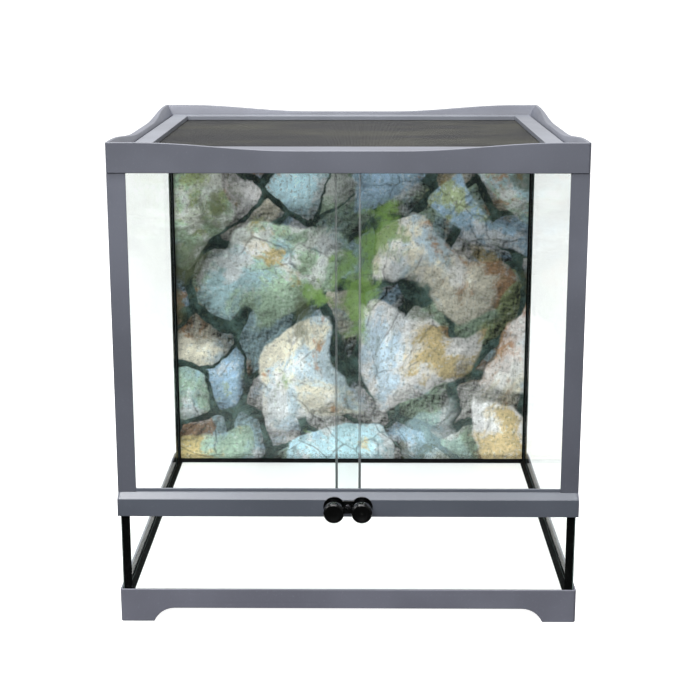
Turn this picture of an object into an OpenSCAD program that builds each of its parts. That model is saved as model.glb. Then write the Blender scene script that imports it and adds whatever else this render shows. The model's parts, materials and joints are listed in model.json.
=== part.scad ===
// Front-opening reptile terrarium: clear panes in a grey plastic frame, two sliding front doors,
// a lift-off screen lid and two turning door locks on the front rail.
//
// Frame: X to the viewer's right, Y to the back, Z up. The origin is on the table, under the
// middle of the overall box, which runs from the knobs in front to the base behind.
// Depths in the modules count backwards from the front face of the top frame (depth 0).

/* [Overall] */
// Width of the top frame across its outer faces
frame_w = 450; // [400:1:600]
// Depth of the top frame from its front face to its back face
frame_d = 450; // [400:1:600]
// Height of the raised corners above the table
overall_h = 475; // [420:1:700]

/* [Base frame] */
// How far the base stands out past the top frame on each side
base_overhang = 1; // [0:0.5:3]
// Height of the base from the table to its top edge
base_h = 34; // [30:1:50]
// Wall thickness of the base
base_wall = 2; // [1.6:0.1:2.2]
// Outer corner radius of the base
base_corner_r = 3; // [2.5:0.5:6]
// Height of the arch cut under each side
arch_h = 14; // [8:0.5:15]
// Width of each foot where it meets the table
foot_w = 33; // [25:1:45]
// Radius of the hollow curve from a foot up to its arch
arch_r = 22.5; // [16:0.5:30]
// Height of the floor ledge's top above the table
floor_ledge_z = 19; // [17.5:0.5:22]
// Thickness of the floor ledge
floor_ledge_t = 2.5; // [2:0.1:3]
// Width of the floor ledge, in from the base wall
floor_ledge_w = 19; // [12:0.5:30]

/* [Panes] */
// Thickness of the side, back and lower front panes
glass_t = 4; // [3:0.1:5]
// Thickness of each sliding door
door_t = 4; // [3:0.1:5]
// Thickness of the white floor panel
floor_t = 5; // [3:0.5:6]
// Thickness of the printed picture sheet behind the back pane
picture_t = 0.4; // [0.2:0.1:0.8]
// Width over which the two doors overlap in the middle
door_overlap = 25; // [10:1:50]

/* [Silicone] */
// Thickness of a silicone joint between two panes
joint_t = 0.5; // [0.3:0.1:1]
// Leg of the bead round the floor
floor_bead = 4.5; // [2:0.5:6]
// Leg of the bead in the two lower front corners
front_bead = 4.3; // [2:0.1:6]
// Leg of the bead in the two back corners
back_bead = 2; // [1:0.5:4]

/* [Top frame] */
// Height of the top frame's outer face at the raised corners
fascia_h = 28.5; // [26:0.5:40]
// Thickness of the top frame's outer wall beside the panes
fascia_wall = 1.5; // [1.2:0.1:2]
// Outer corner radius of the top frame
top_corner_r = 2.5; // [2:0.5:5]
// How far each rim dips between its raised corners
rim_dip = 7.6; // [3:0.1:8]
// Length of the level stretch at each raised corner
rim_level_l = 25; // [15:1:60]
// Length of the level stretch at the bottom of each dip
rim_low_l = 100; // [40:1:160]
// Thickness of the rim at the top of its corners
rim_t = 3; // [2:0.5:5]
// Width of the rim down at the lid
rim_w = 9; // [8:0.5:12]
// Depth of the flat ledge over the door track
front_ledge_d = 48; // [40:1:70]
// Height of the rim's dip above that ledge
front_ledge_drop = 0.9; // [0.5:0.1:3]
// Wall thickness of the ledge, its inner wall and the lid seat
shelf_t = 2; // [1.5:0.1:2.5]
// Width of the seat that carries the lid
lid_seat_w = 11; // [8:0.5:14]
// Thickness of the inner skirt that holds the panes' top edges
skirt_t = 1.5; // [1:0.1:2]

/* [Lid] */
// Height of the lid frame
lid_h = 5.6; // [5:0.1:8]
// Step from the front ledge down to the lid's top
lid_step = 2.5; // [1:0.1:3]
// Width of the lid frame's bars
lid_bar_w = 18.5; // [16:0.5:30]
// Gap round the lid in its recess
lid_gap = 2; // [0.5:0.1:3]
// Thickness of the screen
screen_t = 0.5; // [0.4:0.1:0.6]
// Width of one strand of the screen
strand_w = 0.9; // [0.6:0.1:1.5]
// Number of gaps in the screen from side to side
screen_gaps_x = 17; // [8:1:19]
// Number of gaps in the screen from front to back
screen_gaps_y = 15; // [8:1:15]
// Width of the rubber cord that holds the screen
cord_w = 3.3; // [2.5:0.1:3.5]
// Height of that cord
cord_h = 2.8; // [2:0.1:3.2]

/* [Posts and door tracks] */
// Width of a post's front face
post_w = 17.8; // [14:0.1:24]
// Thickness of a post's front face
post_t = 1.8; // [1.5:0.1:2.5]
// Thickness of a post's two legs
post_leg_t = 1.4; // [1:0.1:1.5]
// Depth of a post from its face to the ends of its legs
post_d = 12; // [10:0.5:16]
// Gap on each side of a door in its channel
door_gap = 0.4; // [0.3:0.1:0.8]
// Thickness of the track wall between the two doors
track_wall = 2; // [1.5:0.1:3]
// Height of the upper track's lips
track_lip_h = 12; // [10:0.5:14]
// How far a door's top edge stays below the upper track's roof
door_top_gap = 5; // [3:0.5:7]

/* [Front rail] */
// Height of the rail's lower edge above the table
rail_z = 112; // [100:1:150]
// Height of the rail's front face
rail_face_h = 17.7; // [17:0.1:22]
// How far the rail's face stands out in front of the top frame
rail_reach = 6; // [4:0.5:10]
// Height of the sloped shoulder above the face
shoulder_h = 5.4; // [4:0.1:10]
// Height of the lip above the shoulder
lip_h = 3.4; // [2:0.1:6]
// How far the walls behind and between the doors stay below the lip
guide_drop = 4.7; // [1:0.1:6]
// Wall thickness of the rail
rail_wall = 2; // [1.5:0.1:2.2]
// Height of the slot that takes the lower front pane
pane_slot_h = 4.8; // [4:0.1:5]
// Height of the door channels' floor above the rail's lower edge
track_floor_h = 17.3; // [17:0.1:18]
// Thickness of a rail end cap
cap_t = 1.6; // [1:0.1:3]
// Length of the plug that holds an end cap
cap_plug_l = 5; // [3:0.5:12]

/* [Locks] */
// Distance between the two knobs
knob_pitch = 27; // [22:0.5:60]
// Height of the knobs' axis above the rail's lower edge
knob_h = 10.5; // [10.4:0.1:10.6]
// Diameter of a knob's head
knob_d = 20; // [16:0.5:21]
// Thickness of a knob's head
knob_head_t = 10; // [7:0.5:14]
// Diameter of a knob's neck
knob_neck_d = 10; // [8:0.5:12]
// Length of a knob's neck, from the plate to the head
knob_neck_l = 10; // [6:0.5:16]
// Diameter of the lock plate round each knob
plate_d = 21; // [18:0.5:22]
// Thickness of the lock plate
plate_t = 1.5; // [1:0.1:3]
// Height of the lock plate's bridge between the knobs
plate_bridge_h = 13; // [9:0.5:16]
// Diameter of a lock shaft
shaft_d = 5; // [4:0.1:5.2]
// Diameter of a cam's hub
cam_hub_d = 7.4; // [7:0.1:7.6]
// Width of a cam's lobe
cam_lobe_w = 4.6; // [3.5:0.1:5]
// Thickness of a cam
cam_t = 3.2; // [2:0.1:3.6]
// Diameter of a retaining clip
clip_d = 9; // [7:0.5:10]
// Thickness of a retaining clip
clip_t = 0.8; // [0.6:0.1:1.2]
// Diameter of the plate screw's head
screw_head_d = 6; // [4.5:0.1:8]
// Diameter of the plate screw's thread
screw_d = 3; // [2:0.1:3.5]
// Length of the plate screw under its head
screw_l = 6; // [4.5:0.5:8]

/* [Hidden] */
$fn = 48;

// Clearances
fit_gap = 0.1;        // between a pane or a tongue and the wall that it stands against
turn_gap = 0.08;      // round a shaft in its bearing
cam_gap = 0.3;        // from a turned-up cam to the door above it
press_gap = 0.02;     // round a shaft in its knob or cam
eps = 0.01;           // how far a cut runs past a face
past = 5;             // how far a through cut runs past the part

// Overall box and origin
base_w = frame_w + 2 * base_overhang;
base_d = frame_d + 2 * base_overhang;
knob_front = rail_reach + plate_t + turn_gap + knob_neck_l + knob_head_t;
front_y = (knob_front - frame_d - base_overhang) / 2;

// Panes: outer faces, inner faces and ends
glass_x = frame_w / 2 - fascia_wall - fit_gap;
glass_in_x = glass_x - glass_t;
picture_y = frame_d - fascia_wall - fit_gap - picture_t;
back_y = picture_y - glass_t;
post_y = fascia_wall + fit_gap;
pane_front_y = post_y + post_t + 0.2;
pane_in_y = pane_front_y + glass_t;
side_front_y = pane_in_y + joint_t;
side_back_y = back_y - joint_t;
bed_z = floor_ledge_z + joint_t;
floor_z = floor_ledge_z + floor_t;

// Base pocket
pocket_x = base_w / 2 - base_wall;
pocket_front_y = base_wall - base_overhang;
pocket_back_y = frame_d + base_overhang - base_wall;
pocket_r = max(base_corner_r - base_wall, 0.5);

// Top frame levels
fascia_z = overall_h - fascia_h;
dip_z = overall_h - rim_dip;
ledge_z = dip_z - front_ledge_drop;
lid_top_z = ledge_z - lid_step;
lid_z = lid_top_z - lid_h;
pane_top_z = lid_z - shelf_t;
recess_x = frame_w / 2 - rim_w;
recess_front_y = front_ledge_d;
recess_back_y = frame_d - rim_w;

// Door channels, front to back
front_door_y = post_y + post_t + door_gap;
channel_w = door_t + 2 * door_gap;
front_channel_y = post_y + post_t;
rear_channel_y = front_channel_y + channel_w + track_wall;
rear_door_y = rear_channel_y + door_gap;
track_end_y = rear_channel_y + channel_w + track_wall;
track_floor_z = rail_z + track_floor_h;
track_roof_z = ledge_z - shelf_t;

// Posts and the space between them
post_out_x = frame_w / 2;
post_in_x = post_out_x - post_w;
leg_in_x = glass_in_x - fit_gap - post_leg_t;
track_half_l = leg_in_x - 0.2;
door_end_x = leg_in_x - 0.5;
lip_half_l = post_in_x - 0.1;

// Rail profile, outside and inside
rail_half_l = frame_w / 2 - cap_t - 0.1;
face_top_z = rail_z + rail_face_h;
shoulder_z = face_top_z + shoulder_h;
lip_z = shoulder_z + lip_h;
lip_y = post_y - 0.6;
slot_front_y = pane_front_y - fit_gap;
slot_back_y = pane_in_y + fit_gap;
slot_roof_z = rail_z + pane_slot_h;
chamber_z = slot_roof_z + 1.5;
chamber_top_z = track_floor_z - rail_wall;

// Locks
knob_z = rail_z + knob_h;
shaft_end_y = track_end_y + clip_t + 1.4;
cam_reach = track_floor_z - cam_gap - knob_z;
clip_y = track_end_y + 0.15;
clip_groove_d = shaft_d - 1;

// A box from one corner to the other
module block(low, high) {
    translate(low) cube(high - low);
}

// A flat rectangle with round corners, from one corner to the other
module round_rect(low, high, r) {
    translate([low[0] + r, low[1]]) square([high[0] - low[0] - 2 * r, high[1] - low[1]]);
    translate([low[0], low[1] + r]) square([high[0] - low[0], high[1] - low[1] - 2 * r]);
    for (x = [low[0] + r, high[0] - r], y = [low[1] + r, high[1] - r])
        translate([x, y]) circle(r);
}

// Moves children drawn in front-face depths to the part's own frame
module placed() {
    translate([0, front_y, 0]) children();
}

// Draws a piece at +X, or its mirror image at -X
module on_side(side) {
    mirror([side < 0 ? 1 : 0, 0, 0]) children();
}

// Extrudes an outline drawn as (depth, height) along X
module along_x(x0, x1) {
    translate([x0, 0, 0]) rotate([90, 0, 90]) linear_extrude(x1 - x0) children();
}

// Extrudes an outline drawn as (x, height) along Y
module along_y(y0, y1) {
    translate([0, y1, 0]) rotate([90, 0, 0]) linear_extrude(y1 - y0) children();
}

// Places a turned piece on a knob's axis; its own +Z then points to the front
module on_knob_axis(side, depth) {
    translate([side * knob_pitch / 2, depth, knob_z]) rotate([90, 0, 0]) children();
}

// ---------------------------------------------------------------- base frame

// The arch under one side: level in the middle, with a hollow curve down to each foot
module arch_outline(span) {
    level = span / 2 - foot_w - sqrt(arch_r * arch_r - (arch_r - arch_h) * (arch_r - arch_h));
    intersection() {
        translate([-span / 2, -past]) square([span, arch_h + past]);
        union() {
            translate([-level, -past]) square([2 * level, arch_h + past]);
            for (s = [-1, 1]) translate([s * level, arch_h - arch_r]) circle(arch_r);
        }
    }
}

module base_frame() {
    foot_top = floor_ledge_z - floor_ledge_t + eps;
    low = [-base_w / 2, -base_overhang];
    high = [base_w / 2, frame_d + base_overhang];
    mid_y = frame_d / 2;
    color([0.42, 0.44, 0.47]) placed() difference() {
        union() {
            difference() {
                linear_extrude(base_h) round_rect(low, high, base_corner_r);
                // hollow under the ledge and pocket over it
                translate([0, 0, -past]) linear_extrude(past + floor_ledge_z - floor_ledge_t)
                    round_rect([-pocket_x, pocket_front_y], [pocket_x, pocket_back_y], pocket_r);
                translate([0, 0, floor_ledge_z]) linear_extrude(base_h)
                    round_rect([-pocket_x, pocket_front_y], [pocket_x, pocket_back_y], pocket_r);
                block([-pocket_x + floor_ledge_w, pocket_front_y + floor_ledge_w, -past],
                      [pocket_x - floor_ledge_w, pocket_back_y - floor_ledge_w, base_h + past]);
            }
            // each foot is closed inwards by two walls
            for (side = [-1, 1], back = [0, 1])
                on_side(side) translate([0, mid_y, 0]) mirror([0, back == 1 ? 0 : 1, 0])
                    foot_walls(foot_top);
        }
        along_y(-base_overhang - past, pocket_front_y + eps) arch_outline(base_w);
        along_y(pocket_back_y - eps, frame_d + base_overhang + past) arch_outline(base_w);
        for (side = [-1, 1]) on_side(side) translate([0, mid_y, 0])
            along_x(pocket_x - eps, base_w / 2 + past) arch_outline(base_d);
    }
}

module foot_walls(top) {
    out_x = base_w / 2 - eps - base_wall / 2;
    out_y = base_d / 2 - eps - base_wall / 2;
    in_x = base_w / 2 - foot_w;
    in_y = base_d / 2 - foot_w;
    block([in_x, in_y, 0], [in_x + base_wall, out_y, top]);
    block([in_x, in_y, 0], [out_x, in_y + base_wall, top]);
}

// ---------------------------------------------------------------- floor, panes and picture

module floor_panel() {
    edge_x = glass_in_x - joint_t;
    color([0.95, 0.95, 0.95]) placed()
        block([-edge_x, side_front_y, floor_ledge_z], [edge_x, side_back_y, floor_z]);
}

module side_glass(side) {
    color([0.85, 0.95, 0.93, 0.25]) placed() on_side(side)
        block([glass_in_x, side_front_y, bed_z], [glass_x, side_back_y, pane_top_z]);
}

module back_glass() {
    color([0.85, 0.95, 0.93, 0.25]) placed()
        block([-glass_x, back_y, bed_z], [glass_x, picture_y, pane_top_z]);
}

module lower_front_glass() {
    color([0.85, 0.95, 0.93, 0.25]) placed()
        block([-glass_x, pane_front_y, bed_z], [glass_x, pane_in_y, slot_roof_z]);
}

module back_picture() {
    edge = 1.5;
    color([0.55, 0.62, 0.58]) placed()
        block([edge - glass_x, picture_y, bed_z], [glass_x - edge, picture_y + picture_t, pane_top_z]);
}

// ---------------------------------------------------------------- silicone

// The bead round the floor, with the bed that the panes stand in
module floor_seal() {
    skin_top = base_h - 1;
    bead_top = floor_z + floor_bead;
    in_x = glass_in_x;
    color([0.06, 0.06, 0.07]) placed() {
        difference() {
            translate([0, 0, floor_ledge_z]) linear_extrude(skin_top - floor_ledge_z)
                round_rect([-pocket_x, pocket_front_y], [pocket_x, pocket_back_y], pocket_r);
            block([-glass_x, pane_front_y, bed_z], [glass_x, picture_y + picture_t, base_h]);
            block([joint_t - in_x, side_front_y, 0], [in_x - joint_t, side_back_y, base_h]);
        }
        difference() {
            block([-in_x, pane_in_y, floor_ledge_z], [in_x, back_y, bead_top]);
            block([joint_t - in_x, side_front_y, 0], [in_x - joint_t, side_back_y, floor_z]);
            intersection() {
                along_y(0, frame_d) polygon([
                    [floor_bead - in_x, floor_z - eps], [in_x - floor_bead, floor_z - eps],
                    [in_x + eps, bead_top + eps], [-in_x - eps, bead_top + eps]
                ]);
                along_x(-frame_w / 2, frame_w / 2) polygon([
                    [pane_in_y + floor_bead, floor_z - eps], [back_y - floor_bead, floor_z - eps],
                    [back_y + eps, bead_top + eps], [pane_in_y - eps, bead_top + eps]
                ]);
            }
        }
    }
}

// A vertical corner joint: a layer on the side pane's edge, and a hollow bead inside the corner
module corner_seal(side, joint_y, corner_y, inwards, leg, joint_top, bead_top) {
    bead_z = floor_z + floor_bead;
    color([0.06, 0.06, 0.07]) placed() on_side(side) {
        block([glass_in_x, joint_y, bed_z], [glass_x, joint_y + joint_t, joint_top]);
        translate([glass_in_x, corner_y, bead_z]) linear_extrude(bead_top - bead_z)
            mirror([1, 0]) mirror([0, inwards < 0 ? 1 : 0]) difference() {
                square(leg);
                translate([leg, leg]) circle(leg - 0.3);
            }
    }
}

module front_seal(side) {
    corner_seal(side, pane_in_y, pane_in_y, 1, front_bead, rail_z, rail_z - 0.2);
}

module back_seal(side) {
    corner_seal(side, side_back_y, back_y, -1, back_bead, pane_top_z, fascia_z - 0.2);
}

// ---------------------------------------------------------------- posts

// A post's cross-section: a front face and two legs that hold the side pane between them
module post_outline(out_x) {
    translate([post_in_x, post_y]) square([out_x - post_in_x, post_t]);
    translate([leg_in_x, post_y]) square([post_leg_t, post_d]);
    if (out_x > glass_x + fit_gap)
        translate([glass_x + fit_gap / 2, post_y])
            square([out_x - glass_x - fit_gap / 2, post_d]);
}

module post(side) {
    color([0.42, 0.44, 0.47]) placed() on_side(side) {
        translate([0, 0, track_floor_z]) linear_extrude(fascia_z - 0.1 - track_floor_z)
            post_outline(post_out_x);
        // the top end reaches up inside the top frame, the outer part down beside the rail
        translate([0, 0, fascia_z - 1]) linear_extrude(pane_top_z - fascia_z + 1)
            post_outline(glass_x);
        translate([0, 0, slot_roof_z + 0.1]) linear_extrude(track_floor_z + 1 - slot_roof_z)
            intersection() {
                post_outline(post_out_x);
                translate([leg_in_x, 0]) square(post_d + post_w);
            }
    }
}

// ---------------------------------------------------------------- front rail

// The rail's outer form: face, sloped shoulder, lip, two door channels and the pane slot
module rail_outline() {
    wall_top = lip_z - guide_drop;
    back_z = chamber_z - rail_wall + 0.5;
    polygon([
        [-rail_reach, rail_z], [-rail_reach, face_top_z], [lip_y, shoulder_z], [lip_y, lip_z],
        [front_channel_y, lip_z], [front_channel_y, track_floor_z],
        [front_channel_y + channel_w, track_floor_z], [front_channel_y + channel_w, wall_top],
        [rear_channel_y, wall_top], [rear_channel_y, track_floor_z],
        [rear_channel_y + channel_w, track_floor_z], [rear_channel_y + channel_w, wall_top],
        [track_end_y, wall_top], [track_end_y, back_z],
        [slot_back_y + rail_wall, back_z], [slot_back_y + rail_wall, rail_z],
        [slot_back_y, rail_z], [slot_back_y, slot_roof_z],
        [slot_front_y, slot_roof_z], [slot_front_y, rail_z]
    ]);
}

// The rail's inner chamber, which holds the lock shafts and cams
module chamber_outline(inset) {
    front = rail_wall - rail_reach + inset;
    step_y = slot_front_y - rail_wall - inset;
    shoulder_run = (lip_y + rail_reach) / shoulder_h;
    inner_y = lip_y - inset;
    polygon([
        [front, rail_z + rail_wall + inset], [step_y, rail_z + rail_wall + inset],
        [step_y, chamber_z + inset], [inner_y, chamber_z + inset],
        [inner_y, face_top_z - inset - 1 + (inner_y - front) / shoulder_run],
        [front, face_top_z - inset - 1]
    ]);
}

module mid_rail() {
    slot_gap = 0.4;
    color([0.42, 0.44, 0.47]) placed() difference() {
        along_x(-rail_half_l, rail_half_l) rail_outline();
        along_x(-rail_half_l - past, rail_half_l + past) {
            chamber_outline(0);
            translate([lip_y - eps, chamber_z])
                square([track_end_y - rail_wall - lip_y + eps, chamber_top_z - chamber_z]);
        }
        for (side = [-1, 1]) on_side(side) {
            // room for the post, the side pane and the corner seal
            block([track_half_l, lip_y, slot_roof_z], [frame_w, track_end_y + past, lip_z + past]);
            block([track_half_l, slot_back_y, rail_z - past],
                  [frame_w, track_end_y + past, lip_z + past]);
            block([lip_half_l, lip_y - eps, track_floor_z],
                  [frame_w, front_channel_y + eps, lip_z + past]);
            // bearings of the lock shaft
            on_knob_axis(1, track_end_y + past)
                cylinder(d = shaft_d + 2 * turn_gap, h = track_end_y + rail_reach + 2 * past);
        }
        // slots through which the cams turn up under the doors
        cam_slot(-1, front_channel_y + channel_w / 2, slot_gap);
        cam_slot(1, rear_channel_y + channel_w / 2, slot_gap);
        translate([0, 0, knob_z]) rotate([90, 0, 0])
            translate([0, 0, rail_reach - rail_wall - 1]) cylinder(d = screw_d, h = rail_wall + past);
    }
}

module cam_slot(side, mid_y, gap) {
    below = chamber_top_z - knob_z;
    half_w = sqrt(cam_reach * cam_reach - below * below) + 2 * gap;
    x = side * knob_pitch / 2;
    block([x - half_w, mid_y - cam_t / 2 - gap, chamber_top_z - 1],
          [x + half_w, mid_y + cam_t / 2 + gap, track_floor_z + 1]);
}

module rail_cap(side) {
    plug_gap = 0.1;
    color([0.40, 0.42, 0.45]) placed() on_side(side) {
        along_x(rail_half_l, rail_half_l + cap_t) polygon([
            [-rail_reach, rail_z], [-rail_reach, face_top_z], [lip_y, shoulder_z], [lip_y, rail_z]
        ]);
        along_x(rail_half_l - cap_plug_l, rail_half_l + eps) chamber_outline(plug_gap);
    }
}

// ---------------------------------------------------------------- locks

module lock_plate() {
    color([0.07, 0.07, 0.08]) placed() translate([0, -rail_reach, knob_z]) rotate([90, 0, 0])
        linear_extrude(plate_t) difference() {
            union() {
                for (s = [-1, 1]) translate([s * knob_pitch / 2, 0]) circle(d = plate_d);
                square([knob_pitch, plate_bridge_h], center = true);
            }
            for (s = [-1, 1])
                translate([s * knob_pitch / 2, 0]) circle(d = shaft_d + 2 * turn_gap);
            circle(d = screw_d);
        }
}

module plate_screw() {
    head_h = 1.8;
    drive_r = 1.3;
    color([0.12, 0.12, 0.13]) placed() translate([0, -rail_reach - plate_t, knob_z])
        rotate([90, 0, 0]) difference() {
            union() {
                translate([0, 0, -screw_l]) cylinder(d = screw_d - 2 * press_gap, h = screw_l + eps);
                rotate_extrude() intersection() {
                    square([screw_head_d / 2, head_h]);
                    translate([0, head_h - screw_head_d]) circle(screw_head_d);
                }
            }
            for (turn = [0, 90]) rotate([0, 0, turn])
                translate([-drive_r, -0.35, head_h - 1]) cube([2 * drive_r, 0.7, 2]);
        }
}

// A turned spool: a collar on the plate, a waisted neck and a rounded head with a dished front
module knob(side) {
    collar_r = knob_neck_d / 2 + 2.5;
    collar_h = 1.6;
    edge_r = 2.4;
    bore_l = knob_neck_l + knob_head_t / 2;
    head_r = knob_d / 2;
    color([0.05, 0.05, 0.06]) placed() on_knob_axis(side, -rail_reach - plate_t - turn_gap)
        difference() {
            rotate_extrude() difference() {
                union() {
                    square([collar_r, collar_h]);
                    square([knob_neck_d / 2, knob_neck_l + 1]);
                    translate([0, knob_neck_l]) {
                        square([head_r - edge_r, knob_head_t]);
                        translate([0, edge_r]) square([head_r, knob_head_t - 2 * edge_r]);
                        for (z = [edge_r, knob_head_t - edge_r])
                            translate([head_r - edge_r, z]) circle(edge_r);
                    }
                }
                translate([0, knob_neck_l + knob_head_t + 3 * head_r - 1.2]) circle(3 * head_r);
            }
            translate([0, 0, -eps]) cylinder(d = shaft_d + 2 * press_gap, h = bore_l);
        }
}

module shaft(side) {
    front = rail_reach + plate_t + turn_gap + knob_neck_l + knob_head_t / 2 - 0.5;
    color([0.62, 0.63, 0.65]) placed() on_knob_axis(side, shaft_end_y) difference() {
        cylinder(d = shaft_d, h = shaft_end_y + front);
        translate([0, 0, shaft_end_y - clip_y - clip_t - 0.05]) difference() {
            cylinder(d = shaft_d + 2, h = clip_t + 0.1);
            translate([0, 0, -eps]) cylinder(d = clip_groove_d, h = clip_t + 0.1 + 2 * eps);
        }
    }
}

// The cam stands up under its door when the knob is in the locked position
module cam(side, mid_y) {
    tip_r = cam_lobe_w / 2;
    color([0.07, 0.07, 0.08]) placed() on_knob_axis(side, mid_y + cam_t / 2)
        linear_extrude(cam_t) difference() {
            union() {
                circle(d = cam_hub_d);
                translate([-tip_r, 0]) square([cam_lobe_w, cam_reach - tip_r]);
                translate([0, cam_reach - tip_r]) circle(tip_r);
            }
            circle(d = shaft_d + 2 * press_gap);
        }
}

module clip(side) {
    color([0.62, 0.63, 0.65]) placed() on_knob_axis(side, clip_y + clip_t)
        linear_extrude(clip_t) difference() {
            circle(d = clip_d);
            circle(d = clip_groove_d + 2 * press_gap);
            translate([-clip_groove_d * 0.4, -clip_d]) square([clip_groove_d * 0.8, clip_d]);
        }
}

// ---------------------------------------------------------------- top frame

// The space over a rim that dips between two raised corners
module dip_outline(span) {
    steps = 14;
    fall_start = span / 2 - rim_level_l;
    fall_l = fall_start - rim_low_l / 2;
    fall = [for (i = [0:steps]) [
        fall_start - fall_l * i / steps,
        overall_h - rim_dip * (1 - cos(180 * i / steps)) / 2
    ]];
    polygon(concat(
        [[fall_start, overall_h + past]],
        fall,
        [for (i = [steps:-1:0]) [-fall[i][0], fall[i][1]]],
        [[-fall_start, overall_h + past]]
    ));
}

module top_frame() {
    above = overall_h + past;
    slope = (rim_w - rim_t) / (overall_h - lid_top_z);
    grow = slope * (above - lid_top_z);
    low = [-frame_w / 2, 0];
    high = [frame_w / 2, frame_d];
    wall_x = glass_x + fit_gap;
    color([0.42, 0.44, 0.47]) placed() {
        difference() {
            translate([0, 0, fascia_z]) linear_extrude(fascia_h) round_rect(low, high, top_corner_r);
            along_y(-past, frame_d + past) dip_outline(frame_w);
            translate([0, frame_d / 2, 0]) along_x(-frame_w / 2 - past, frame_w / 2 + past)
                dip_outline(frame_d);
            // recess of the lid, flared up to the rims, and the level ledge in front of it
            intersection() {
                along_y(-past, frame_d + past) polygon([
                    [-recess_x, lid_z], [recess_x, lid_z], [recess_x, lid_top_z],
                    [recess_x + grow, above], [-recess_x - grow, above], [-recess_x, lid_top_z]
                ]);
                along_x(-frame_w / 2, frame_w / 2) polygon([
                    [recess_front_y, lid_z], [recess_back_y, lid_z], [recess_back_y, lid_top_z],
                    [recess_back_y + grow, above], [rim_t, above], [rim_t, ledge_z],
                    [recess_front_y, ledge_z]
                ]);
            }
            // window under the lid
            block([lid_seat_w - recess_x, recess_front_y + lid_seat_w, fascia_z - past],
                  [recess_x - lid_seat_w, recess_back_y - lid_seat_w, above]);
            // room for the panes, and for the door track under the front ledge
            block([-wall_x, fascia_wall, fascia_z - past],
                  [wall_x, frame_d - fascia_wall, pane_top_z]);
            block([-track_half_l - fit_gap, fascia_wall, fascia_z - past],
                  [track_half_l + fit_gap, recess_front_y - shelf_t, track_roof_z]);
        }
        pane_skirt();
    }
}

// The inner skirt stands inside the panes and keeps their top edges in line
module pane_skirt() {
    out_x = glass_in_x - fit_gap;
    back = back_y - fit_gap;
    front = recess_front_y - shelf_t;
    translate([0, 0, fascia_z]) linear_extrude(pane_top_z - fascia_z + shelf_t / 2) difference() {
        translate([-out_x, front]) square([2 * out_x, back - front]);
        translate([skirt_t - out_x, front + skirt_t])
            square([2 * (out_x - skirt_t), back - front - 2 * skirt_t]);
    }
}

module upper_track() {
    lip_z0 = track_roof_z - track_lip_h;
    color([0.40, 0.42, 0.45]) placed() difference() {
        along_x(-track_half_l, track_half_l) difference() {
            translate([post_y, lip_z0]) square([track_end_y - post_y, track_lip_h]);
            for (y = [front_channel_y, rear_channel_y])
                translate([y, lip_z0 - eps]) square([channel_w, track_lip_h - rail_wall + eps]);
        }
        for (side = [-1, 1]) on_side(side)
            block([lip_half_l, 0, lip_z0 - eps], [frame_w, front_channel_y + eps, pane_top_z + 0.2]);
    }
}

// ---------------------------------------------------------------- doors

module door(x0, x1, y) {
    top = track_roof_z - rail_wall - door_top_gap;
    color([0.80, 0.93, 0.92, 0.25]) placed()
        block([x0, y, track_floor_z], [x1, y + door_t, top]);
}

// ---------------------------------------------------------------- lid

lid_low = [lid_gap - recess_x, recess_front_y + lid_gap];
lid_high = [recess_x - lid_gap, recess_back_y - lid_gap];
lid_in_low = [lid_low[0] + lid_bar_w, lid_low[1] + lid_bar_w];
lid_in_high = [lid_high[0] - lid_bar_w, lid_high[1] - lid_bar_w];
screen_margin = 5;

// A level ring between two rectangles, given by how far each lies outside the lid's window
module window_ring(outside, inside) {
    grow_out = [outside, outside];
    grow_in = [inside, inside];
    difference() {
        round_rect(lid_in_low - grow_out, lid_in_high + grow_out, 1);
        round_rect(lid_in_low - grow_in, lid_in_high + grow_in, 1);
    }
}

module lid_frame() {
    rebate = screen_t + 0.1;
    color([0.45, 0.47, 0.50]) placed() difference() {
        translate([0, 0, lid_z]) linear_extrude(lid_h) difference() {
            round_rect(lid_low, lid_high, 2);
            round_rect(lid_in_low, lid_in_high, 1);
        }
        translate([0, 0, lid_z - eps]) linear_extrude(rebate + eps)
            window_ring(screen_margin + eps, -eps);
        translate([0, 0, lid_z - eps]) linear_extrude(cord_h + 0.2 + eps)
            window_ring(screen_margin + cord_w + 0.1, screen_margin);
    }
}

// The screen is drawn with fewer, wider gaps than its real weave
module lid_screen() {
    pitch_x = (lid_in_high[0] - lid_in_low[0]) / screen_gaps_x;
    pitch_y = (lid_in_high[1] - lid_in_low[1]) / screen_gaps_y;
    hole = [pitch_x - strand_w, pitch_y - strand_w];
    grow = [screen_margin, screen_margin];
    color([0.20, 0.20, 0.20]) placed() translate([0, 0, lid_z + 0.05])
        linear_extrude(screen_t) difference() {
            round_rect(lid_in_low - grow, lid_in_high + grow, 1);
            for (i = [0:screen_gaps_x - 1], j = [0:screen_gaps_y - 1])
                translate(lid_in_low + [i * pitch_x + strand_w / 2, j * pitch_y + strand_w / 2])
                    square(hole);
        }
}

module screen_cord() {
    color([0.06, 0.06, 0.07]) placed() translate([0, 0, lid_z + 0.05]) linear_extrude(cord_h)
        window_ring(screen_margin + cord_w, screen_margin);
}

// ---------------------------------------------------------------- nodes

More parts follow.
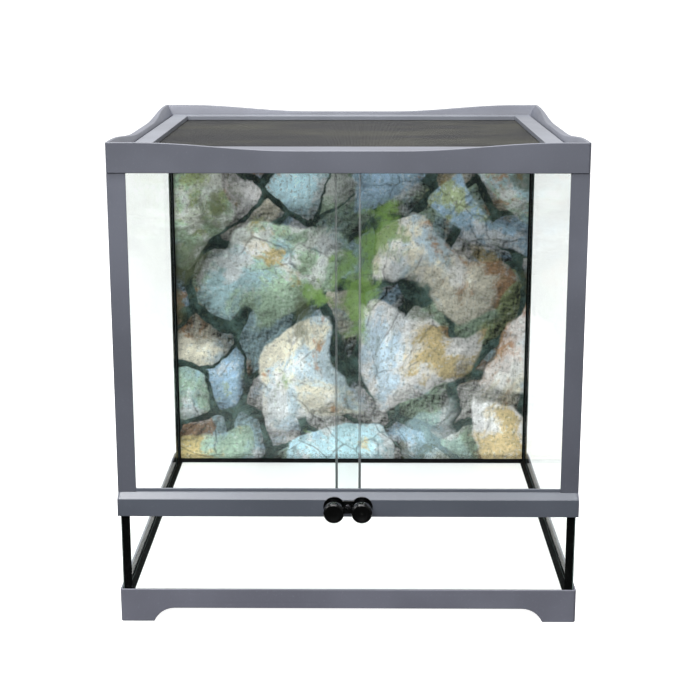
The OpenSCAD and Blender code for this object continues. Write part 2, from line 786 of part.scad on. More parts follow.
base_frame();
floor_panel();
side_glass(-1);  // left_glass
side_glass(1);  // right_glass
back_glass();
lower_front_glass();
back_picture();
floor_seal();
back_seal(-1);  // back_left_seal
back_seal(1);  // back_right_seal
front_seal(-1);  // front_left_seal
front_seal(1);  // front_right_seal
post(-1);  // left_post
post(1);  // right_post
mid_rail();
rail_cap(-1);  // left_rail_cap
rail_cap(1);  // right_rail_cap
lock_plate();
plate_screw();
top_frame();
upper_track();
door(-door_end_x, door_overlap / 2, front_door_y);  // left_door
door(-door_overlap / 2, door_end_x, rear_door_y);  // right_door
knob(-1);  // left_knob
shaft(-1);  // left_shaft
cam(-1, front_channel_y + channel_w / 2);  // left_cam
clip(-1);  // left_clip
knob(1);  // right_knob
shaft(1);  // right_shaft
cam(1, rear_channel_y + channel_w / 2);  // right_cam
clip(1);  // right_clip
lid_frame();
lid_screen();
screen_cord();
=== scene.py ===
"""Front-opening reptile terrarium: clear panes in a moulded grey frame, two sliding doors with
turning locks, a lift-off screen lid and a stone print behind the back pane.

Metres, in the row frame: X to the viewer's right, Y to the back, Z up from the table."""

import json
import math

import bmesh
import bpy
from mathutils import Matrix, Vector


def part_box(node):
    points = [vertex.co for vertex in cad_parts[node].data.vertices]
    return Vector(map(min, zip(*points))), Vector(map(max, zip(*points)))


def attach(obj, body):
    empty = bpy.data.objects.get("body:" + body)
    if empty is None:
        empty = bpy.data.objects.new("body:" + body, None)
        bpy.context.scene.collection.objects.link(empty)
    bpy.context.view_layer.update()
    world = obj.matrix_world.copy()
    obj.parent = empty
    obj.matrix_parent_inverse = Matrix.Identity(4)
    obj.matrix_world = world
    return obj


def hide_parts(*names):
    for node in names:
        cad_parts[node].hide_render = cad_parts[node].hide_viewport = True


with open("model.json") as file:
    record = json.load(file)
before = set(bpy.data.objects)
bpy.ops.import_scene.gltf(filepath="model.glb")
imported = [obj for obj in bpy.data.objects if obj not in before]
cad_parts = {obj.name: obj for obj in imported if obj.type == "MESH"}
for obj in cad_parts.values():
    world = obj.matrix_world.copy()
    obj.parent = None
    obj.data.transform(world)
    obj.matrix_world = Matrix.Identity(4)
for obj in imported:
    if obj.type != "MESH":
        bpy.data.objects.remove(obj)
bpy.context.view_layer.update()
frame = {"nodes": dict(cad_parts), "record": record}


# ------------------------------------------------------------------ base frame
# The base is one injection moulding of blue-grey plastic with four feet and a ledge inside for
# the floor. Its skin has the fine satin grain of a spark-eroded mould, and its edges are soft.

class Wire:
    """A value in a material. Its arithmetic adds Math nodes, so that 1 - mask works."""

    def __init__(self, look, socket):
        self.look = look
        self.socket = socket

    def math(self, operation, *terms):
        return self.look.node("ShaderNodeMath", {"operation": operation}, dict(enumerate(terms)))

    def also(self, name):
        """Another output of the node that this value comes from."""
        return Wire(self.look, self.socket.node.outputs[name])

    def __add__(self, other):
        return self.math("ADD", self, other)

    def __radd__(self, other):
        return self.math("ADD", other, self)

    def __sub__(self, other):
        return self.math("SUBTRACT", self, other)

    def __rsub__(self, other):
        return self.math("SUBTRACT", other, self)

    def __mul__(self, other):
        return self.math("MULTIPLY", self, other)

    def __rmul__(self, other):
        return self.math("MULTIPLY", other, self)

    def __pow__(self, other):
        return self.math("POWER", self, other)


class Look:
    """A material under construction: each method adds nodes and returns the value they make.

    It is a new material of that name, or the world that is given in place of a name.
    """

    def __init__(self, owner):
        self.material = bpy.data.materials.new(owner) if isinstance(owner, str) else owner
        self.material.use_nodes = True
        self.tree = self.material.node_tree
        self.tree.nodes.clear()

    def node(self, kind, settings=None, sockets=None, out=0):
        """Adds one node: first its settings, then the values or links of its sockets."""
        made = self.tree.nodes.new(kind)
        for name, value in (settings or {}).items():
            setattr(made, name, value)
        for name, value in (sockets or {}).items():
            if isinstance(value, Wire):
                self.tree.links.new(value.socket, made.inputs[name])
            else:
                made.inputs[name].default_value = value
        return Wire(self, made.outputs[out]) if made.outputs else None

    def bands(self, value, starts):
        """Flat bands of colour along value: each begins at its start, from 0 up to 1."""
        made = self.node("ShaderNodeValToRGB", None, {"Fac": value})
        ramp = made.socket.node.color_ramp
        ramp.interpolation = "CONSTANT"
        while len(ramp.elements) < len(starts):
            ramp.elements.new(1.0)
        for element, (start, colour) in zip(ramp.elements, starts):
            element.position = start
            element.color = (*colour, 1.0)
        return made

    def place(self):
        """Where a point of the surface lies, in metres, as the piece stands at rest."""
        return self.node("ShaderNodeTexCoord", out="Object")

    def height(self):
        return self.node("ShaderNodeSeparateXYZ", None, {"Vector": self.place()}, out="Z")

    def stretched(self, scale):
        return self.node("ShaderNodeMapping", None, {"Vector": self.place(), "Scale": scale})

    def noise(self, where, scale, detail=2.0, roughness=0.5):
        return self.node("ShaderNodeTexNoise", None,
                         {"Vector": where, "Scale": scale, "Detail": detail,
                          "Roughness": roughness})

    def step(self, value, low, high):
        """A smooth step of value, from 0 at low to 1 at high."""
        return self.node("ShaderNodeMapRange", {"interpolation_type": "SMOOTHSTEP"},
                         {"Value": value, "From Min": low, "From Max": high})

    def mix(self, factor, a, b, blend="MIX"):
        """Two colours mixed, through the colour sockets of a Mix node: 6 and 7 in, 2 out."""
        a, b = (c if isinstance(c, Wire) else (*c, 1.0) for c in (a, b))
        return self.node("ShaderNodeMix", {"data_type": "RGBA", "blend_type": blend},
                         {0: factor, 6: a, 7: b}, out=2)

    def grey(self, value):
        """A colour that has this value in all three channels."""
        return self.node("ShaderNodeCombineXYZ", None, {"X": value, "Y": value, "Z": value})

    def bump(self, height, strength, distance):
        return self.node("ShaderNodeBump", None,
                         {"Height": height, "Strength": strength, "Distance": distance})

    def end_in(self, shader):
        """Ends the material in this shader."""
        self.node("ShaderNodeOutputMaterial", None, {"Surface": shader})
        return self.material

    def surface(self, sockets):
        """Ends the material in a Principled shader with these values and links."""
        return self.end_in(self.node("ShaderNodeBsdfPrincipled", None, sockets))


def times(tone, share):
    """A colour made darker or paler by one factor."""
    return [channel * share for channel in tone]


def dusted(tone):
    """The colour of a plastic under a film of pale dust."""
    return [channel * 1.6 + 0.02 for channel in tone]


def drifting(look, tone, spread):
    """The colour of a plastic that drifts slowly darker and paler, by spread each way."""
    drift = look.step(look.noise(look.place(), 9.0, 3.0), 0.35, 0.65)
    return look.mix(drift, times(tone, 1.0 - spread), times(tone, 1.0 + spread))


def moulded_plastic(name, tone, gloss, painted_top_light=0.0):
    """Satin moulded plastic: slow drifts of tone, faint flow lines, fine grain and light dust.

    The last argument is a share of painted light and shade by height: the colour is that much paler
    at its top than at its foot.
    """
    look = Look(name)
    flow = look.noise(look.stretched((6.0, 40.0, 40.0)), 1.0, 4.0)
    dust = look.step(look.noise(look.place(), 420.0, 3.0, 0.7), 0.58, 0.72)
    grain = look.noise(look.place(), 1500.0, 2.0, 0.6)
    # painted light and shade by height: darker towards the foot, paler towards the top
    painted_height_shade = 1.0 - painted_top_light * 0.5 + painted_top_light * look.step(look.height(), 0.10, 0.46)
    colour = look.mix(1.0, drifting(look, tone, 0.10), look.grey(painted_height_shade), "MULTIPLY")
    return look.surface({
        "Base Color": look.mix(dust * 0.25, colour, dusted(tone)),
        "Roughness": gloss - 0.06 + flow * 0.12 + dust * 0.10,
        "Normal": look.bump(grain, 0.25, 0.00006),
    })


WELD_DISTANCE = 0.000005  # corners of triangles nearer than this, in metres, are one corner
FLAT_ANGLE = math.radians(0.5)  # triangles that turn less than this make one flat face
SHARP_ANGLE = math.radians(32)  # edges that turn more than this are rounded


def dressed(node, material, edge=0.0, steps=2, split=False):
    """A merged copy of a CAD node that stands for it, with its sharp edges rounded by edge.

    A node with holes in its flat faces is split into triangles, as a rounded face loses its holes.
    """
    shape = bmesh.new()
    shape.from_mesh(frame["nodes"][node].data)
    bmesh.ops.remove_doubles(shape, verts=shape.verts, dist=WELD_DISTANCE)
    bmesh.ops.dissolve_limit(shape, angle_limit=FLAT_ANGLE, verts=shape.verts, edges=shape.edges)
    if split:
        bmesh.ops.triangulate(shape, faces=shape.faces)
    mesh = bpy.data.meshes.new(node + "_shown")
    shape.to_mesh(mesh)
    shape.free()
    mesh.materials.clear()
    mesh.materials.append(material)
    mesh.shade_smooth()
    mesh.set_sharp_from_angle(angle=SHARP_ANGLE)
    piece = bpy.data.objects.new(node + "_shown", mesh)
    bpy.context.scene.collection.objects.link(piece)
    if edge > 0:
        rounding = piece.modifiers.new("rounded edges", "BEVEL")
        rounding.width = edge
        rounding.segments = steps
        rounding.limit_method = "ANGLE"
        rounding.angle_limit = SHARP_ANGLE
        rounding.use_clamp_overlap = False
        rounding.loop_slide = False
        piece.modifiers.new("flat faces", "WEIGHTED_NORMAL").keep_sharp = True
    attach(piece, body_of_node[node])
    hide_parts(node)
    return piece


body_of_node = {node: body for body, nodes in frame["record"]["behaviour"]["bodies"].items()
                for node in nodes}
base_plastic = moulded_plastic("base_plastic", (0.131, 0.136, 0.168), 0.42)
dressed("base_frame", base_plastic, edge=0.0005)


# ------------------------------------------------------------------ floor panel
# The floor is one plain white board, cut to size and bonded into the base. It is smooth, with
# the slightest orange-peel, and hardly marked.

look = Look("white_floor")
marks = look.step(look.noise(look.stretched((30.0, 8.0, 30.0)), 1.0, 5.0, 0.6), 0.55, 0.75)
peel = look.noise(look.place(), 300.0, 2.0)
white_floor = look.surface({
    "Base Color": look.mix(marks * 0.5, (0.88, 0.88, 0.88), (0.80, 0.81, 0.81)),
    "Roughness": 0.30 + marks * 0.15,
    "Normal": look.bump(peel, 0.15, 0.0001),
})
dressed("floor_panel", white_floor, edge=0.0003)


# ------------------------------------------------------------------ fixed panes
# Both sides, the back and the low front pane are 4 mm clear float glass with ground edges. The
# flats mirror a little more the flatter they are seen, and carry faint wipe marks.

def clear_glass(name, tint):
    """Float glass that light passes straight through, with a mirror that grows towards grazing."""
    look = Look(name)
    graze = look.node("ShaderNodeLayerWeight", None, {"Blend": 0.5}, out="Facing")
    mirror = 0.012 + 0.35 * graze ** 5.0
    wiped = look.step(look.noise(look.stretched((5.0, 5.0, 14.0)), 1.0, 5.0, 0.6), 0.50, 0.80)
    through = look.node("ShaderNodeBsdfTransparent", None, {"Color": (*tint, 1.0)})
    gloss = look.node("ShaderNodeBsdfAnisotropic", {"distribution": "GGX"},
                      {"Color": (1.0, 1.0, 1.0, 1.0), "Roughness": 0.01 + wiped * 0.05})
    look.material.use_transparent_shadow = True
    return look.end_in(look.node("ShaderNodeMixShader", None, {0: mirror, 1: through, 2: gloss}))


def grinding_streaks(look):
    return look.noise(look.stretched((900.0, 900.0, 60.0)), 1.0, 3.0)


def frosting(look, colour, streak):
    """The sockets of a shader that shows frosted glass of this colour with fine streaks."""
    return {
        "Base Color": colour,
        "Roughness": 0.45 + streak * 0.2,
        "Normal": look.bump(streak, 0.2, 0.0001),
    }


X_AXIS = 0
Y_AXIS = 1
FLAT_NORMAL = 0.9  # a flat's normal lies along the thin axis at least by this share


def glass_pane(node, flats, edges, thin_axis, arris, steps=2, frosted=0.0):
    """A pane whose edges are rounded by arris: its flats get one material and the rest another.

    The flats lie across thin_axis. A strip as wide as frosted along their rim looks like the edges.
    """
    piece = dressed(node, flats, edge=arris, steps=steps)
    piece.data.materials.append(edges)
    shape = bmesh.new()
    shape.from_mesh(piece.data)
    clear = [face for face in shape.faces if abs(face.normal[thin_axis]) > FLAT_NORMAL]
    for face in shape.faces:
        face.material_index = 0 if face in clear else 1
    if frosted > 0:
        strip = bmesh.ops.inset_region(shape, faces=clear, thickness=frosted, use_even_offset=True)
        for face in strip["faces"]:
            face.material_index = 1
    shape.to_mesh(piece.data)
    shape.free()
    piece.modifiers["rounded edges"].material = 1


PANE_ARRIS = 0.0004
EDGE_GREEN = (0.16, 0.21, 0.20)
pane_flats = clear_glass("float_glass", (0.985, 0.995, 0.990))
look = Look("ground_glass_edge")
streak = grinding_streaks(look)
greens = look.mix(streak, times(EDGE_GREEN, 0.9), times(EDGE_GREEN, 1.1))
pane_edges = look.surface(frosting(look, greens, streak))
for pane in ("left_glass", "right_glass"):
    glass_pane(pane, pane_flats, pane_edges, X_AXIS, PANE_ARRIS)
for pane in ("back_glass", "lower_front_glass"):
    glass_pane(pane, pane_flats, pane_edges, Y_AXIS, PANE_ARRIS)


# ------------------------------------------------------------------ stone print
# A coated sheet behind the back pane shows a photograph-like design of lichened boulders: pale
# blue, mint and cream stones with ochre, rust and moss, and deep dark gaps. Its back is white.

stone = Look("stone_print")
where = stone.place()


def moved(start, way):
    """A place moved by way, so that a texture shows another part of itself there."""
    return stone.node("ShaderNodeVectorMath", {"operation": "ADD"}, {0: start, 1: way})


def swayed(start, scale, detail, reach):
    """Moves a place by a colour noise, up to reach metres each way."""
    noise = stone.node("ShaderNodeTexNoise", None,
                       {"Vector": where, "Scale": scale, "Detail": detail}, out="Color")
    centred = moved(noise, (-0.5, -0.5, -0.5))
    way = stone.node("ShaderNodeVectorMath", {"operation": "SCALE"},
                     {0: centred, "Scale": 2.0 * reach})
    return moved(start, way)


bent = swayed(swayed(where, 4.2, 2.0, 0.075), 30.0, 6.0, 0.011)
across = stone.node("ShaderNodeSeparateXYZ", None, {"Vector": bent}, out="X")
up = across.also("Z")
mottle = stone.noise(where, 48.0, 9.0, 0.78)
mottle_lit = stone.noise(moved(where, (0.0020, 0.0, -0.0026)), 48.0, 9.0, 0.78)
relief = (mottle_lit - mottle) * 2.6


def patches(scale, shift, low, high):
    """Soft-edged areas that lie anywhere on the sheet: a lower low makes them larger."""
    return stone.step(stone.noise(moved(bent, shift), scale, 7.0, 0.68), low, high)


def boulders(span, shift, gap):
    """Stones about span across: outline, light from the upper left, own number and border.

    The number is a colour, so that it stands for three, and the border grows away from the gap.
    """
    x = across + shift[0]
    y = up * 1.1 + shift[1]
    cells = {"Vector": stone.node("ShaderNodeCombineXYZ", None, {"X": x, "Y": y}),
             "Scale": 1.0 / span, "Randomness": 1.0}
    nearest, border = (
        stone.node("ShaderNodeTexVoronoi", {"voronoi_dimensions": "2D", "feature": feature}, cells)
        for feature in ("F1", "DISTANCE_TO_EDGE"))
    middle = stone.node("ShaderNodeSeparateXYZ", None,
                        {"Vector": nearest.also("Position")}, out="X")
    wider = stone.step(stone.noise(where, 9.0, 2.0), 0.36, 0.64)
    inside = border - 0.14 * nearest ** 3.0 - gap * wider
    lean = 0.44 * (y - middle.also("Y")) - 0.32 * (x - middle)
    light = 0.80 + 0.44 * stone.step(inside, 0.0, 0.30) + lean * (1.0 / span)
    number = stone.node("ShaderNodeSeparateColor", None,
                        {"Color": nearest.also("Color")}, out="Red")
    return stone.step(inside, 0.0, 0.035), light, number, border


# every boulder has flat planes with a few cracks between them, and pale flecks
facets = {"Vector": bent, "Scale": 22.0}
plane_colour = stone.node("ShaderNodeTexVoronoi", {"feature": "F1"}, facets, out="Color")
plane = stone.node("ShaderNodeSeparateColor", None, {"Color": plane_colour}, out="Red")
plane_border = stone.node("ShaderNodeTexVoronoi", {"feature": "DISTANCE_TO_EDGE"}, facets)
cracks = (1.0 - stone.step(plane_border, 0.0, 0.05)) * patches(11.0, (2.0, 0.0, 6.0), 0.46, 0.56)
flecks = stone.step(stone.noise(moved(where, (3.1, 0.0, 1.7)), 200.0, 4.0, 0.7), 0.56, 0.64)


BLUE = (0.44, 0.62, 0.80)
MINT = (0.56, 0.74, 0.56)
ROSE_WHITE = (0.90, 0.86, 0.86)
SAGE = (0.46, 0.62, 0.50)
CREAM = (0.84, 0.78, 0.66)
ICE_BLUE = (0.52, 0.72, 0.80)
RUST = (0.52, 0.26, 0.12)
OCHRE = (0.70, 0.52, 0.22)
OLIVE = (0.50, 0.56, 0.26)
BROWN = (0.56, 0.34, 0.18)


def stone_face(light, number):
    """The colours of one layer of boulders under its own light."""
    own = stone.bands(number, ((0.00, BLUE), (0.18, MINT), (0.36, ROSE_WHITE),
                               (0.52, SAGE), (0.66, CREAM), (0.82, ICE_BLUE)))
    stain = stone.bands(number.also("Green"), ((0.00, RUST), (0.30, OCHRE),
                                               (0.60, OLIVE), (0.80, BROWN)))
    sky = patches(9.0, (0.0, 0.0, 0.0), 0.50, 0.58)
    stained = patches(8.0, (3.0, 0.0, 1.0), 0.52, 0.58)
    chalky = patches(12.0, (7.0, 0.0, 2.0), 0.52, 0.60)
    face = stone.mix(sky * 0.65, own, (0.46, 0.66, 0.84))
    face = stone.mix(stained * 0.85, face, stain)
    face = stone.mix(chalky * 0.75, face, (0.92, 0.90, 0.92))
    face = stone.mix(flecks * 0.50, face, (0.92, 0.95, 0.95))
    tilted = light + 0.22 * (plane - 0.5)
    shade = tilted * (0.20 + 1.60 * mottle) * (1.0 - 0.45 * cracks) + relief
    return stone.mix(1.0, face, stone.grey(shade), "MULTIPLY")


# small stones lie deep in the gaps and where the big layer leaves one out
small_outline, small_light, small_number, _ = boulders(span=0.066, shift=(0.11, 0.47), gap=0.06)
big_outline, big_light, big_number, big_border = boulders(span=0.142, shift=(0.42, 0.31), gap=0.10)
present = stone.step(big_number.also("Blue"), 0.20, 0.21)
shadow = 0.30 + 0.70 * stone.step(big_border, 0.02, 0.24)
gap_colour = stone.mix(stone.step(mottle, 0.40, 0.70), (0.004, 0.012, 0.012), (0.12, 0.20, 0.18))
colour = stone.mix(small_outline, gap_colour, stone_face(small_light * shadow, small_number))
colour = stone.mix(big_outline * present, colour, stone_face(big_light, big_number))

# dark algae, lime moss, rain streaks and dark specks lie over stones and gaps alike
algae = patches(5.0, (5.0, 0.0, 4.0), 0.56, 0.64)
algae_colour = stone.mix(mottle, (0.010, 0.016, 0.008), (0.22, 0.24, 0.12))
colour = stone.mix(algae * 0.72, colour, algae_colour)
moss = patches(6.0, (1.6, 0.0, 8.2), 0.60, 0.68)
moss_colour = stone.mix(mottle, (0.06, 0.16, 0.03), (0.52, 0.80, 0.22))
colour = stone.mix(moss * 0.80, colour, moss_colour)
streaks = stone.step(stone.noise(stone.stretched((75.0, 75.0, 8.0)), 1.0, 5.0, 0.6), 0.57, 0.72)
colour = stone.mix(streaks * 0.30, colour, (0.10, 0.12, 0.06))
specks = stone.step(stone.noise(where, 250.0, 4.0, 0.7), 0.54, 0.62)
colour = stone.mix(specks * 0.50, colour, (0.10, 0.12, 0.08))

# the back of the sheet is bare pale pulp
outward = stone.node("ShaderNodeNewGeometry", out="Normal")
facing = stone.node("ShaderNodeSeparateXYZ", None, {"Vector": outward}, out="Y")
pulp = stone.step(stone.noise(where, 35.0, 4.0), 0.35, 0.65)
paper = stone.mix(pulp, (0.70, 0.71, 0.72), (0.78, 0.79, 0.80))
stone_print = stone.surface({
    "Base Color": stone.mix(stone.step(facing * -1.0, 0.4, 0.6), paper, colour),
    "Roughness": 0.32 + specks * 0.06,
})
dressed("back_picture", stone_print)


# ------------------------------------------------------------------ silicone
# The panes stand in and meet at joints of black silicone, drawn to hollow beads with a tool.
# It is deep black with a dull sheen, and has the long soft ripples that a hand leaves.

look = Look("black_silicone")
ripple = look.noise(look.stretched((26.0, 26.0, 70.0)), 1.0, 3.0)
dull = look.step(look.noise(look.place(), 140.0, 3.0, 0.6), 0.45, 0.70)
black_silicone = look.surface({
    "Base Color": look.mix(dull, (0.0020, 0.0023, 0.0023), (0.005, 0.0055, 0.0055)),
    "Roughness": 0.44 + dull * 0.20,
    "Specular IOR Level": 0.02,
    "Normal": look.bump(ripple, 0.5, 0.0012),
})
for joint in ("floor", "back_left", "back_right", "front_left", "front_right"):
    dressed(joint + "_seal", black_silicone, edge=0.0002)


# ------------------------------------------------------------------ posts, rail and its caps
# Two moulded posts cover the side panes' front edges, with painted shade that makes them a little
# darker at the foot than at the top.
# Between them runs the front rail, an extrusion with a sloped shoulder and two door channels,
# closed by a plugged cap at each end.

def extruded_plastic(name, tone, gloss):
    """Extruded plastic: fine die lines along X, and the drifts and dust of the moulded kind."""
    look = Look(name)
    lines = look.noise(look.stretched((1.5, 900.0, 900.0)), 1.0, 3.0, 0.6)
    dust = look.step(look.noise(look.place(), 380.0, 3.0, 0.7), 0.60, 0.72)
    return look.surface({
        "Base Color": look.mix(dust * 0.22, drifting(look, tone, 0.08), dusted(tone)),
        "Roughness": gloss - 0.05 + lines * 0.10 + dust * 0.08,
        "Normal": look.bump(lines, 0.12, 0.00005),
    })


frame_plastic = moulded_plastic("frame_plastic", (0.090, 0.096, 0.119), 0.42)
# the posts carry painted shade: a little darker at the foot, paler at the top
post_plastic = moulded_plastic("post_plastic", (0.087, 0.093, 0.115), 0.42, painted_top_light=0.32)
for post in ("left_post", "right_post"):
    dressed(post, post_plastic, edge=0.0004)
rail_plastic = extruded_plastic("rail_plastic", (0.076, 0.085, 0.105), 0.32)
dressed("mid_rail", rail_plastic, edge=0.0005, split=True)
for cap in ("left_rail_cap", "right_rail_cap"):
    dressed(cap, frame_plastic, edge=0.0004, split=True)


# ------------------------------------------------------------------ locks
# A black two-lobed plate is screwed to the rail. Behind it turn two steel shafts, each with a
# moulded cam and a spring clip, and in front of it their spool-shaped black knobs.

look = Look("knob_plastic")
rub = look.step(look.noise(look.stretched((200.0, 200.0, 30.0)), 1.0, 4.0, 0.6), 0.50, 0.75)
knob_plastic = look.surface({
    "Base Color": look.mix(rub, (0.0010, 0.0011, 0.0011), (0.003, 0.0033, 0.0036)),
    "Roughness": 0.13 + rub * 0.16,
    "Specular IOR Level": 0.38,
    "Normal": look.bump(look.noise(look.place(), 1800.0, 2.0), 0.12, 0.00004),
})
look = Look("blackened_steel")
worn = look.step(look.noise(look.place(), 700.0, 3.0, 0.6), 0.60, 0.70)
blackened_steel = look.surface({
    "Base Color": look.mix(worn, (0.02, 0.02, 0.022), (0.16, 0.16, 0.17)),
    "Metallic": 1.0,
    "Roughness": 0.36 + worn * 0.1,
})
look = Look("turned_steel")
rings = look.noise(look.stretched((30.0, 2600.0, 30.0)), 1.0, 2.0)
turned_steel = look.surface({
    "Base Color": look.mix(rings, (0.50, 0.51, 0.53), (0.66, 0.67, 0.68)),
    "Metallic": 1.0,
    "Roughness": 0.24 + rings * 0.16,
    "Normal": look.bump(rings, 0.15, 0.00003),
})
dressed("lock_plate", knob_plastic, edge=0.0003)
dressed("plate_screw", blackened_steel, edge=0.00012)
for side in ("left", "right"):
    dressed(side + "_knob", knob_plastic)
    dressed(side + "_shaft", turned_steel, edge=0.00015)
    dressed(side + "_cam", knob_plastic, edge=0.0002)
    dressed(side + "_clip", turned_steel, edge=0.0001)


# ------------------------------------------------------------------ top frame and upper track
# The top is a second large moulding with dipped rims and a level ledge in front. Under the
# ledge a darker extruded track is snapped in for the doors' top edges.

dressed("top_frame", frame_plastic, edge=0.0006, split=True)
track_plastic = extruded_plastic("track_plastic", (0.074, 0.081, 0.097), 0.40)
dressed("upper_track", track_plastic, edge=0.0003)


# ------------------------------------------------------------------ doors
# Two loose panes of 4 mm glass overlap in the middle. Their edges are ground round, so that
# each shows as a thin line: dark near the rail by painted shade, half clear against the print.

DOOR_ARRIS = 0.0018
FROSTED_STRIP = 0.0024
rail_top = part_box("mid_rail")[1].z
door_flats = clear_glass("door_float_glass", (0.950, 0.962, 0.958))
look = Look("door_ground_edge")
# painted shade: the ground edge is a darker frosted tone near the rail than higher up, where it is
# paler and half clear
higher = look.step(look.height(), rail_top + 0.022, rail_top + 0.036)
streak = grinding_streaks(look)
frosted_tone_with_painted_shade = look.mix(higher, (0.100, 0.115, 0.116), (0.210, 0.225, 0.225))
frost = look.node("ShaderNodeBsdfPrincipled", None, frosting(look, frosted_tone_with_painted_shade, streak))
through = look.node("ShaderNodeBsdfTransparent", None, {"Color": (0.94, 0.95, 0.95, 1.0)})
clearness = higher * (0.62 + streak * 0.1)
door_edges = look.end_in(
    look.node("ShaderNodeMixShader", None, {0: clearness, 1: frost, 2: through}))
for door in ("left_door", "right_door"):
    glass_pane(door, door_flats, door_edges, Y_AXIS, DOOR_ARRIS,
               steps=4, frosted=FROSTED_STRIP)


# ------------------------------------------------------------------ lid
# The lid is a lighter moulded frame. Its dark wire screen is drawn over the underside and held
# in a groove all round by a rubber cord.

lid_plastic = moulded_plastic("lid_plastic", (0.118, 0.126, 0.148), 0.40)
dressed("lid_frame", lid_plastic, edge=0.0005)

look = Look("screen_wire")
stain = look.step(look.noise(look.stretched((7.0, 22.0, 1.0)), 1.0, 4.0, 0.6), 0.40, 0.66)
screen_wire = look.surface({
    "Base Color": look.mix(stain, (0.007, 0.0075, 0.009), (0.036, 0.036, 0.030)),
    "Roughness": 0.50 + stain * 0.14,
    "Specular IOR Level": 0.3,
})
look = Look("screen_rubber")
ribs = look.noise(look.stretched((600.0, 600.0, 10.0)), 1.0, 2.0)
screen_rubber = look.surface({
    "Base Color": look.mix(ribs, (0.010, 0.010, 0.011), (0.022, 0.022, 0.023)),
    "Roughness": 0.60 + ribs * 0.15,
    "Normal": look.bump(ribs, 0.3, 0.0002),
})
dressed("screen_cord", screen_rubber, edge=0.0003)


class Network:
    """A Geometry Nodes tree under construction, with a node's sockets given as in Look."""

    def __init__(self, name, inputs):
        self.tree = bpy.data.node_groups.new(name, "GeometryNodeTree")
        self.tree.is_modifier = True
        sockets = self.tree.interface
        sockets.new_socket("Geometry", in_out="INPUT", socket_type="NodeSocketGeometry")
        for label in inputs:
            sockets.new_socket(label, in_out="INPUT", socket_type="NodeSocketFloat")
        sockets.new_socket("Geometry", in_out="OUTPUT", socket_type="NodeSocketGeometry")
        self.given = self.tree.nodes.new("NodeGroupInput").outputs

    def node(self, kind, settings=None, sockets=None, out=0):
        made = self.tree.nodes.new(kind)
        for name, value in (settings or {}).items():
            setattr(made, name, value)
        for name, value in (sockets or {}).items():
            if isinstance(value, bpy.types.NodeSocket):
                self.tree.links.new(value, made.inputs[name])
            else:
                made.inputs[name].default_value = value
        return made.outputs[out] if made.outputs else None

    def math(self, operation, a, b):
        return self.node("ShaderNodeMath", {"operation": operation}, {0: a, 1: b})

    def point(self, **parts):
        return self.node("ShaderNodeCombineXYZ", None, parts)


WIRE_SIDES = 6


def wire_layer(net, along, across, count_axis, height):
    """Parallel wires: one wire drawn along one axis, set at every pitch across the other."""
    given = net.given
    half = net.math("MULTIPLY", given[along], 0.5)
    minus_half = net.math("MULTIPLY", given[along], -0.5)
    wire_axis = "Y" if count_axis == "X" else "X"
    line = net.node("GeometryNodeCurvePrimitiveLine", None, {
        "Start": net.point(**{wire_axis: minus_half, "Z": height}),
        "End": net.point(**{wire_axis: half, "Z": height})})
    ring = net.node("GeometryNodeCurvePrimitiveCircle", None,
                    {"Resolution": WIRE_SIDES, "Radius": given["Wire Radius"]})
    wire = net.node("GeometryNodeCurveToMesh", None,
                    {"Curve": line, "Profile Curve": ring, "Fill Caps": True})
    gaps = net.math("FLOOR", net.math("DIVIDE", given[across], given["Pitch"]), 0.0)
    start = net.math("MULTIPLY", net.math("MULTIPLY", gaps, given["Pitch"]), -0.5)
    spots = net.node("GeometryNodeMeshLine", None, {
        "Count": net.math("ADD", gaps, 1.0),
        "Start Location": net.point(**{count_axis: start}),
        "Offset": net.point(**{count_axis: given["Pitch"]})})
    return net.node("GeometryNodeInstanceOnPoints", None, {"Points": spots, "Instance": wire})


def grown(name, net, values):
    """The plain mesh that a tree makes with these named inputs."""
    grower = bpy.data.objects.new(name, bpy.data.meshes.new(name + "_seed"))
    bpy.context.scene.collection.objects.link(grower)
    modifier = grower.modifiers.new("grown", "NODES")
    modifier.node_group = net.tree
    for item in net.tree.interface.items_tree:
        if item.in_out == "INPUT" and item.name in values:
            modifier[item.identifier] = values[item.name]
    ready = grower.evaluated_get(bpy.context.evaluated_depsgraph_get())
    mesh = bpy.data.meshes.new_from_object(ready)
    grower.modifiers.remove(modifier)
    grower.data = mesh
    return grower


SCREEN_PITCH = 0.0015
SCREEN_WIRE_R = 0.00014
LAYER_RISE = 0.9 * SCREEN_WIRE_R  # the two layers of wires press a little into each other
screen_low, screen_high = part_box("lid_screen")
screen_mid = (screen_low + screen_high) / 2
screen_net = Network("wire_screen", ("Width", "Depth", "Pitch", "Wire Radius"))
screen_layers = screen_net.node("GeometryNodeJoinGeometry")
for layer in (wire_layer(screen_net, "Depth", "Width", "X", LAYER_RISE),
              wire_layer(screen_net, "Width", "Depth", "Y", -LAYER_RISE)):
    screen_net.tree.links.new(layer, screen_layers.node.inputs[0])
real = screen_net.node("GeometryNodeRealizeInstances", None, {"Geometry": screen_layers})
painted = screen_net.node("GeometryNodeSetMaterial", None,
                          {"Geometry": real, "Material": screen_wire})
screen_net.node("NodeGroupOutput", None, {"Geometry": painted})
screen = grown("lid_screen_shown", screen_net, {
    "Width": screen_high.x - screen_low.x - 2 * SCREEN_WIRE_R,
    "Depth": screen_high.y - screen_low.y - 2 * SCREEN_WIRE_R,
    "Pitch": SCREEN_PITCH,
    "Wire Radius": SCREEN_WIRE_R,
})
for vertex in screen.data.vertices:
    vertex.co += screen_mid
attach(screen, "lid")
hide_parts("lid_screen")


# ------------------------------------------------------------------ studio
# A seamless pale floor, soft lights overhead, at the left, high at the left and above the camera,
# and a camera in front of the doors, a little above the lid.

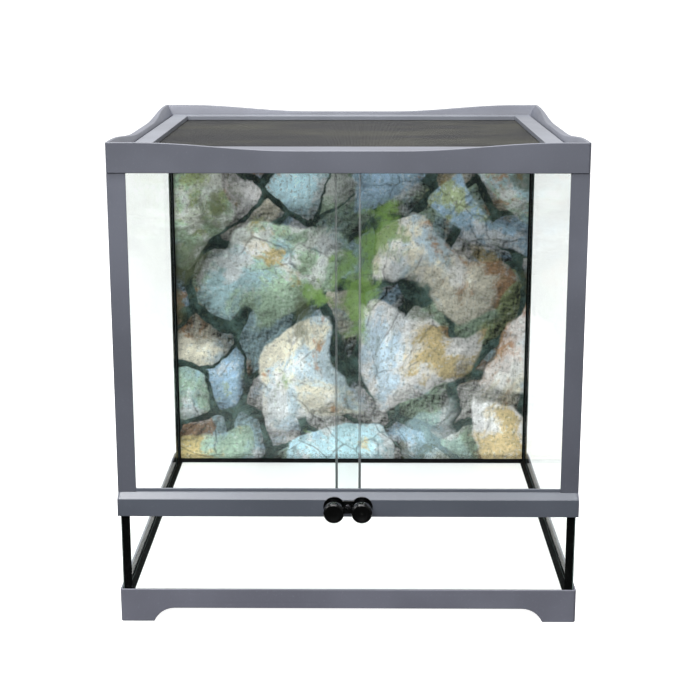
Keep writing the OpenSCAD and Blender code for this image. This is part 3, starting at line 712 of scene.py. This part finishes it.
FLOOR_HALF = 60.0
floor_mesh = bpy.data.meshes.new("studio_floor")
corners = [(x * FLOOR_HALF, y * FLOOR_HALF, 0) for x, y in ((-1, -1), (1, -1), (1, 1), (-1, 1))]
floor_mesh.from_pydata(corners, [], [(0, 1, 2, 3)])
floor = bpy.data.objects.new("studio_floor", floor_mesh)
bpy.context.scene.collection.objects.link(floor)
look = Look("studio_paper")
fibre = look.noise(look.place(), 60.0, 3.0)
floor_mesh.materials.append(look.surface({
    "Base Color": look.mix(fibre, (0.38, 0.38, 0.38), (0.42, 0.42, 0.42)),
    "Roughness": 0.8 + fibre * 0.1,
    "Emission Color": look.mix(fibre, (0.98, 0.98, 0.98), (1.0, 1.0, 1.0)),
    "Emission Strength": 1.0,
}))
floor.visible_glossy = False
floor.visible_diffuse = False

# the room is bright behind the tank and above it, and dim in front of it, as black flags leave it
room = Look(bpy.data.worlds.new("studio"))
ray = room.node("ShaderNodeTexCoord", out="Generated")
ray_y = room.node("ShaderNodeSeparateXYZ", None, {"Vector": ray}, out="Y")
behind = room.step(ray_y, -0.25, 0.55)
above = room.step(ray_y.also("Z"), -0.25, 0.35)
seen = room.node("ShaderNodeLightPath", out="Is Camera Ray")
power = 0.08 + above * (0.30 + 0.65 * behind)
glow = room.node("ShaderNodeBackground", None, {
    "Color": (1.0, 1.0, 1.0, 1.0), "Strength": power.math("MAXIMUM", power, seen * 1.3)})
room.node("ShaderNodeOutputWorld", None, {"Surface": glow})
bpy.context.scene.world = room.material


def soft_light(name, place, aim, size, power):
    """A lamp of size metres at place that shines towards aim with power watts."""
    lamp = bpy.data.lights.new(name, "AREA")
    lamp.shape = "RECTANGLE"
    lamp.size, lamp.size_y = size
    lamp.energy = power
    holder = bpy.data.objects.new(name, lamp)
    holder.location = place
    holder.rotation_euler = (Vector(aim) - Vector(place)).to_track_quat("-Z", "Y").to_euler()
    bpy.context.scene.collection.objects.link(holder)


soft_light("overhead", (0.0, 0.05, 2.2), (0.0, 0.0, 0.4), (1.8, 1.8), 60.0)
soft_light("left", (-1.9, -1.0, 1.5), (0.0, 0.0, 0.2), (0.8, 1.0), 24.0)
soft_light("above camera", (-0.1, -2.3, 1.55), (0.0, 0.0, 0.25), (1.4, 0.9), 56.0)
soft_light("high left", (-0.72, -0.56, 2.1), (0.0, -0.2, 0.15), (0.6, 0.5), 23.0)

# the camera's place, length and tilt are fitted to the edges of the object in the photo
CAMERA_PLACE = (0.013, -1.6187, 0.618)
SENSOR_MM = 36.0
LENS_MM = 78.07
TILT_DOWN = math.radians(13.58)
TURN_LEFT = math.radians(0.45)
UPRIGHT = math.radians(90.0)
lens = bpy.data.cameras.new("photo_camera")
lens.sensor_width = SENSOR_MM
lens.lens = LENS_MM
camera = bpy.data.objects.new("photo_camera", lens)
camera.location = CAMERA_PLACE
camera.rotation_euler = (UPRIGHT - TILT_DOWN, 0.0, TURN_LEFT)
bpy.context.scene.collection.objects.link(camera)
bpy.context.scene.camera = camera
bpy.context.scene.view_settings.view_transform = "Standard"
# a ray may pass both doors, both side panes and many gaps between the screen's wires
bpy.context.scene.cycles.transparent_max_bounces = 24
